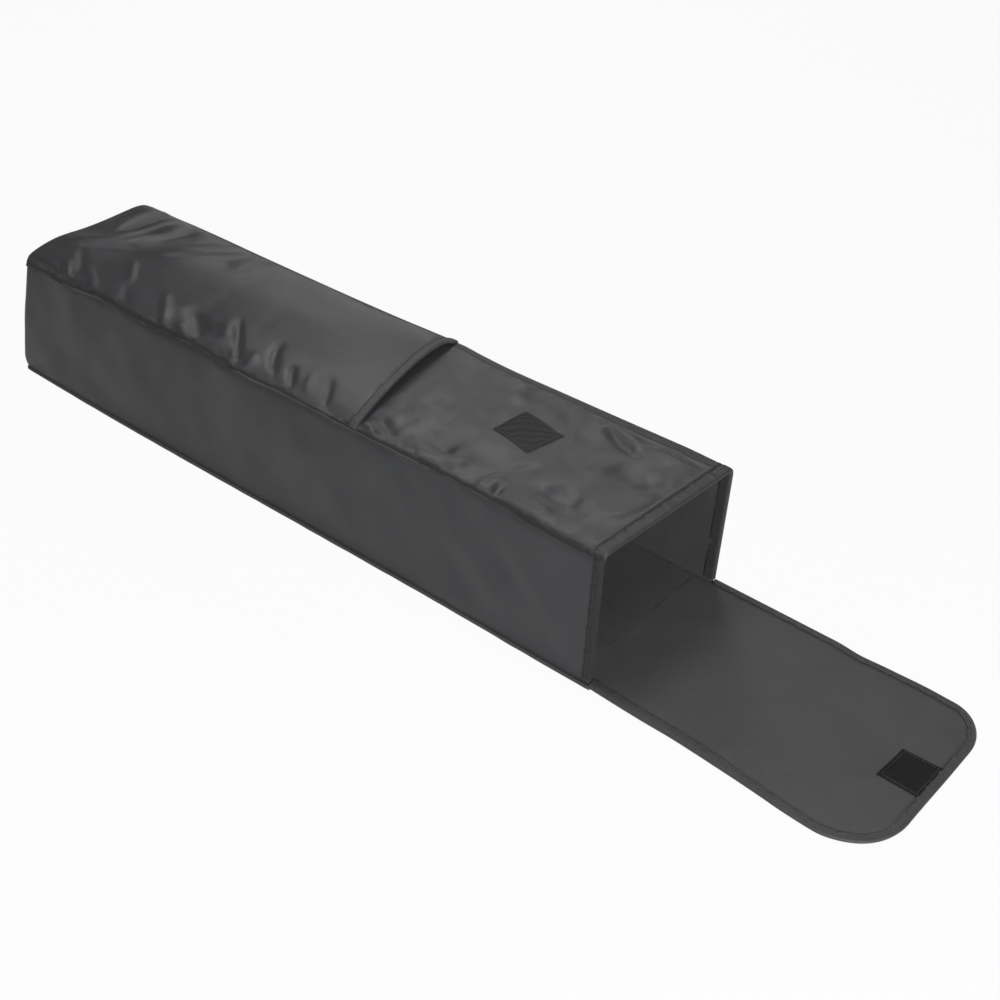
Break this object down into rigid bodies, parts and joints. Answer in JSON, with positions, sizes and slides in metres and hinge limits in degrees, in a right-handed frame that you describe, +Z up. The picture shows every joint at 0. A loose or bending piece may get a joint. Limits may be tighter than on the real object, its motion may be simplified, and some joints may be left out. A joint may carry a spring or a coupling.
{
  "type": "gift wrap organizer",
  "caption": "Long box bag of charcoal cloth with boards in its walls, one open end closed by a folding flap with a hook patch, and a slip pocket on top.",
  "frame": {"origin": "middle of the underside of the bag's floor", "axes": "+X runs along the bag to its open end, +Y is the side away from the camera in the picture, +Z is up"},
  "size_m": [1.1548, 0.2392, 0.16],
  "materials": {
    "charcoal_cloth": "woven polyester with a satin sheen",
    "charcoal_tape": "ribbed binding tape",
    "grey_lining": "thin matt lining",
    "black_loop": "soft loop pile",
    "black_hook": "stiff hook pile",
    "grey_board": "plain stiffener board"
  },
  "bodies": {
    "bag": {"bottom_cloth": "charcoal_cloth", "bottom_board": "grey_board", "bottom_lining": "grey_lining", "wall_cloth": "charcoal_cloth", "wall_lining": "grey_lining", "near_board": "grey_board", "far_board": "grey_board", "end_board": "grey_board", "top_cloth": "charcoal_cloth", "top_lining": "grey_lining", "pocket_panel": "charcoal_cloth", "pocket_hem": "charcoal_tape", "loop_patch": "black_loop", "top_piping": "charcoal_tape", "bottom_piping": "charcoal_tape", "mouth_binding_near": "charcoal_tape", "mouth_binding_far": "charcoal_tape", "mouth_binding_top": "charcoal_tape"},
    "flap_front": {"flap_front_cloth": "charcoal_cloth", "flap_front_board": "grey_board", "flap_front_lining": "charcoal_cloth", "flap_binding_near": "charcoal_tape", "flap_binding_far": "charcoal_tape"},
    "flap_tongue": {"tongue_cloth": "charcoal_cloth", "tongue_lining": "charcoal_cloth", "tongue_binding": "charcoal_tape", "hook_patch": "black_hook"}
  },
  "joints": [
    {"name": "flap_hinge", "type": "hinge", "parent": "bag", "child": "flap_front", "pos_m": [0.4208, 0, 0.0062], "axis": [0, -1, 0], "range_deg": [0, 90]},
    {"name": "flap_fold", "type": "hinge", "parent": "flap_front", "child": "flap_tongue", "pos_m": [0.563, 0, 0.0062], "axis": [0, -1, 0], "range_deg": [0, 90]}
  ]
}
